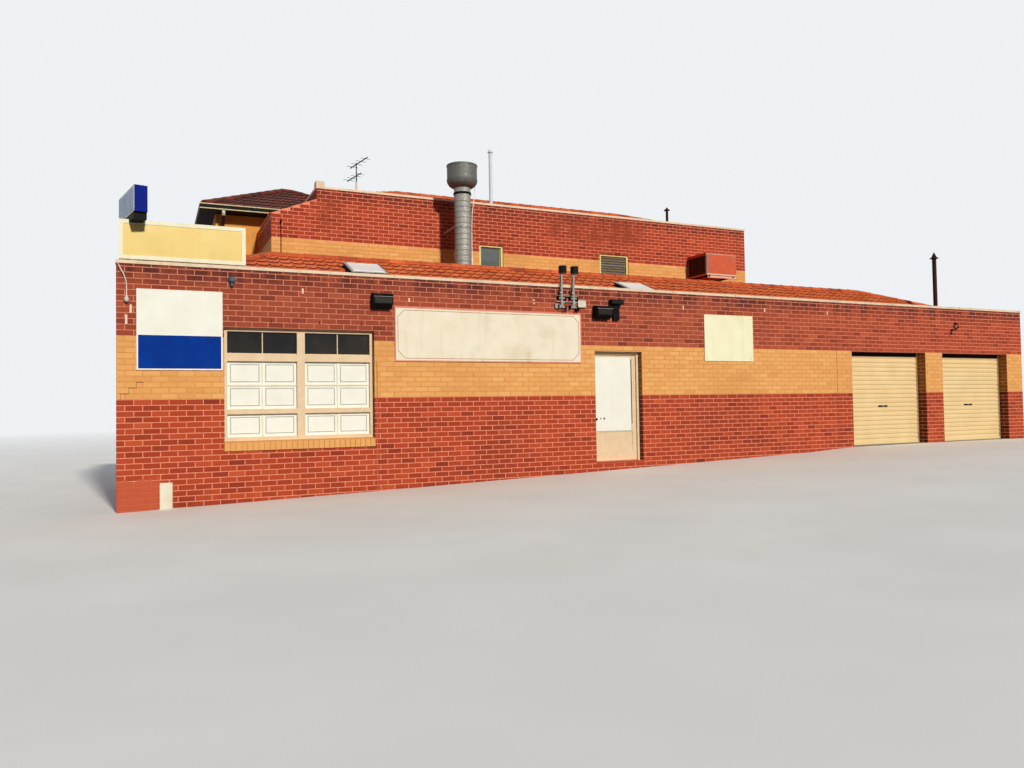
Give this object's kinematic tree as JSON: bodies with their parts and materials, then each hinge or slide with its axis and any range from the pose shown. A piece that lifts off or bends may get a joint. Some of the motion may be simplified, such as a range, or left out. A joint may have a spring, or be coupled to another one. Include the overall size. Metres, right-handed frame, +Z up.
{
  "type": "corner shop building",
  "caption": "Brick corner shop with a hinged door, side garages, hipped tile roofs and an upper storey set back behind.",
  "frame": {"origin": "middle of the footprint, on the level of the lowest ground", "axes": "+X along the street face to the right as seen from the street, +Y into the building, +Z up"},
  "size_m": [20.82, 11.43, 8.28],
  "materials": {
    "dark_metal": "painted metal",
    "red_case": "painted case, hollow",
    "cream_metal": "painted sheet",
    "blue_case": "painted case, hollow",
    "brick": "painted brickwork",
    "cream_timber": "gloss painted timber",
    "glass": "clear",
    "cream_render": "painted masonry",
    "white_metal": "painted sheet",
    "zinc": "galvanised sheet",
    "concrete": "cast concrete",
    "terracotta_tile": "fired clay tiles on battens",
    "sign_board": "painted board",
    "sign_case": "painted case, hollow",
    "skylight": "clouded sheet",
    "dark_tile": "glazed dark tiles on battens"
  },
  "bodies": {
    "building": {"aerial": "dark_metal", "cooler": "red_case", "cooler_brackets": "dark_metal", "corner_capping": "cream_metal", "corner_sign": "blue_case", "corner_wall": "brick", "corner_window_frame": "cream_timber", "corner_window_pane": "glass", "corner_window_sill": "cream_render", "door_frame": "cream_timber", "door_head": "brick", "door_step": "brick", "downpipe": "white_metal", "end_capping": "cream_metal", "end_wall": "brick", "floodlights": "dark_metal", "flue": "zinc", "flue_cowl": "zinc", "garage_floor": "concrete", "garage_wall": "brick", "house_back_wall": "brick", "house_capping": "cream_metal", "house_right_wall": "brick", "house_roof": "terracotta_tile", "house_street_wall": "brick", "lean_roof": "terracotta_tile", "lean_wall": "brick", "left_board": "sign_board", "long_board": "sign_board", "middle_wall": "brick", "rear_eaves": "cream_metal", "rear_floor": "concrete", "roller_door_1": "cream_metal", "roller_door_2": "cream_metal", "roof_sign": "sign_case", "service_masts": "white_metal", "shop_floor": "concrete", "shop_window_frame": "cream_timber", "shop_window_pane": "glass", "shop_window_sill": "cream_render", "side_parapet": "brick", "skylights": "skylight", "small_board": "sign_board", "small_window_frames": "cream_timber", "small_window_panes": "glass", "street_capping": "cream_metal", "street_roof": "terracotta_tile", "upper_floor": "concrete", "vent_pipes": "white_metal", "window_wall": "brick", "wing_eaves": "cream_metal", "wing_roof": "dark_tile", "wing_walls": "cream_render", "yard_wall": "brick"},
    "door_leaf": {"door_lock": "dark_metal", "door_pane": "glass", "shop_door": "cream_timber"}
  },
  "joints": [
    {"name": "shop_door_hinge", "type": "hinge", "parent": "building", "child": "door_leaf", "pos_m": [-1.2635, -5.157, 0.5], "axis": [0, 0, -1], "range_deg": [0, 90]}
  ]
}
